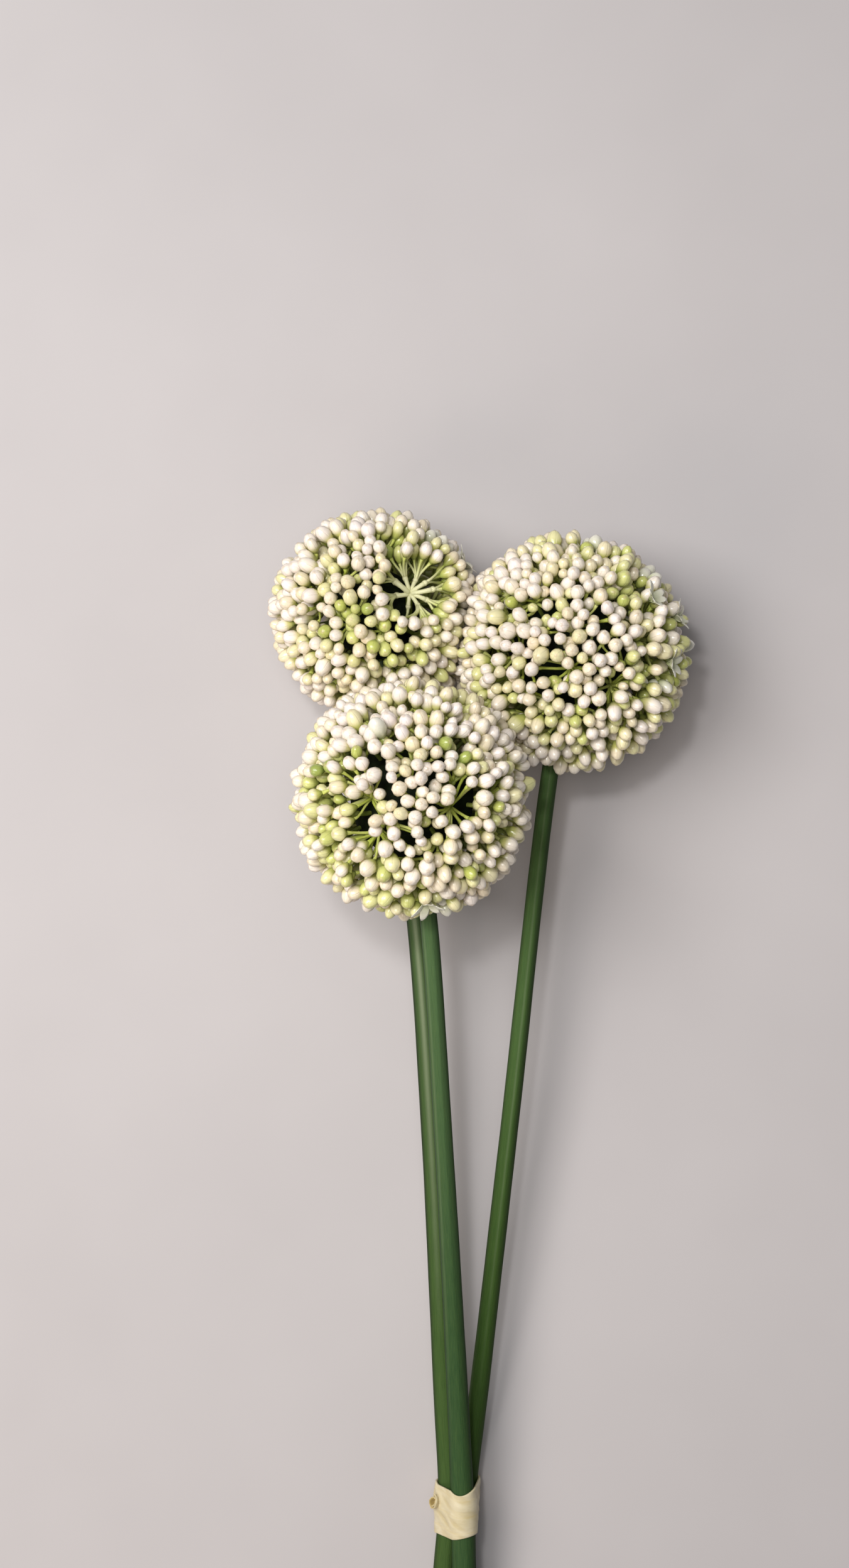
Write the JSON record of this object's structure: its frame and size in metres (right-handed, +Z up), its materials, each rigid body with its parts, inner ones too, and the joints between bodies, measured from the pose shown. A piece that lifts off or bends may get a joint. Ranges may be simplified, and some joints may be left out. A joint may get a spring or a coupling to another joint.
{
  "type": "giant allium flower heads, tied bunch",
  "caption": "Round pale flower heads of many small buds on long green ridged stems, held by a wound cream tape, laid down as a cut bunch.",
  "frame": {"origin": "on the surface that the bunch lies on, under the middle of its outline seen from above", "axes": "+Y along the bunch from the cut ends to the flower heads, +Z up from the surface, +X towards the right head"},
  "size_m": [0.2094, 0.642, 0.1631],
  "materials": {
    "florets": "waxy buds from creamy white to yellow-green, on pale green pedicels",
    "stems": "smooth green skin with soft lengthwise ridges",
    "tape": "cream crepe tape wound in fine turns"
  },
  "bodies": {
    "root": {"head_left": "florets", "head_right": "florets", "head_front": "florets", "stem_left": "stems", "stem_right": "stems", "stem_front": "stems", "tie": "tape"}
  },
  "joints": []
}
